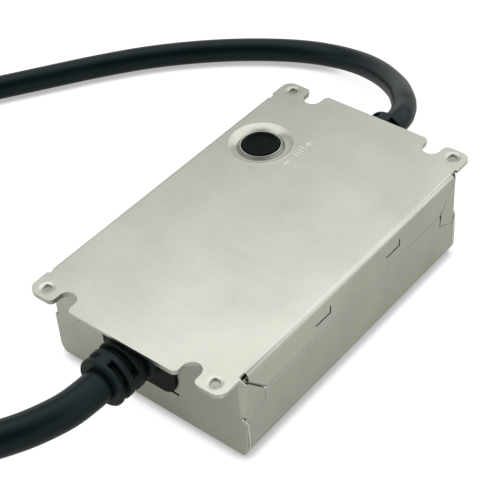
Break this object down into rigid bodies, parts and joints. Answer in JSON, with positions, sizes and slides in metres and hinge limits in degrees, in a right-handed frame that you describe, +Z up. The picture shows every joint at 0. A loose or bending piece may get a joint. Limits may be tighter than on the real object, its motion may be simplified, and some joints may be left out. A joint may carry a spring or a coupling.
{
  "type": "led driver",
  "caption": "Flat sheet-metal power supply for LED lamps with slotted mounting ears, a rubber-plugged adjuster and a black cord from each end.",
  "frame": {"origin": "centre of the case's underside", "axes": "+Y along the case towards the output cord, +X across it, +Z up through the cover"},
  "size_m": [0.2005, 0.2413, 0.0292],
  "materials": {
    "cover_steel": "fine brushed",
    "tray_steel": "fine brushed",
    "plug_rubber": "matt",
    "gland_plastic": "satin",
    "cord_rubber": "satin",
    "core_brown": "satin",
    "core_blue": "satin",
    "core_green": "satin",
    "core_red": "satin",
    "core_black": "satin",
    "liner_plastic": "matt",
    "board": "satin",
    "pad": "matt",
    "ferrite": "matt",
    "bobbin_plastic": "satin",
    "winding_tape": "satin",
    "copper_wire": "enamelled",
    "can_sleeve": "satin",
    "film_box": "satin",
    "disc_coat": "satin",
    "moulded_black": "matt",
    "bar_aluminium": "extruded",
    "clip_steel": "satin",
    "fuse_sleeve": "satin",
    "trimmer_blue": "satin",
    "rotor_white": "satin"
  },
  "bodies": {
    "driver": {"cover": "cover_steel", "tray": "tray_steel", "adjust_plug": "plug_rubber", "input_gland": "gland_plastic", "output_gland": "gland_plastic", "input_cord": "cord_rubber", "output_cord": "cord_rubber", "input_core_line": "core_brown", "input_core_neutral": "core_blue", "input_core_earth": "core_green", "output_core_plus": "core_red", "output_core_minus": "core_black", "input_lead_line": "core_brown", "input_lead_neutral": "core_blue", "input_lead_earth": "core_green", "output_lead_plus": "core_red", "output_lead_minus": "core_black", "insulation_liner": "liner_plastic", "circuit_board": "board", "thermal_pad": "pad", "transformer_core_near": "ferrite", "transformer_core_far": "ferrite", "transformer_bobbin": "bobbin_plastic", "transformer_winding": "winding_tape", "choke_core": "ferrite", "choke_winding_1": "copper_wire", "choke_winding_2": "copper_wire", "bulk_capacitor": "can_sleeve", "output_capacitor_1": "can_sleeve", "output_capacitor_2": "can_sleeve", "film_capacitor": "film_box", "safety_capacitor": "disc_coat", "bridge_rectifier": "moulded_black", "heat_bar": "bar_aluminium", "switching_transistor": "moulded_black", "output_diode": "moulded_black", "clip_transistor": "clip_steel", "clip_diode": "clip_steel", "fuse": "fuse_sleeve", "varistor": "disc_coat", "control_chip": "moulded_black", "trimmer_body": "trimmer_blue"},
    "adjuster": {"trimmer_rotor": "rotor_white"}
  },
  "joints": [
    {"name": "adjuster_turn", "type": "hinge", "parent": "driver", "child": "adjuster", "pos_m": [-0.0198, 0.0261, 0.0186], "axis": [0, 0, 1], "range_deg": [-135, 135]}
  ]
}
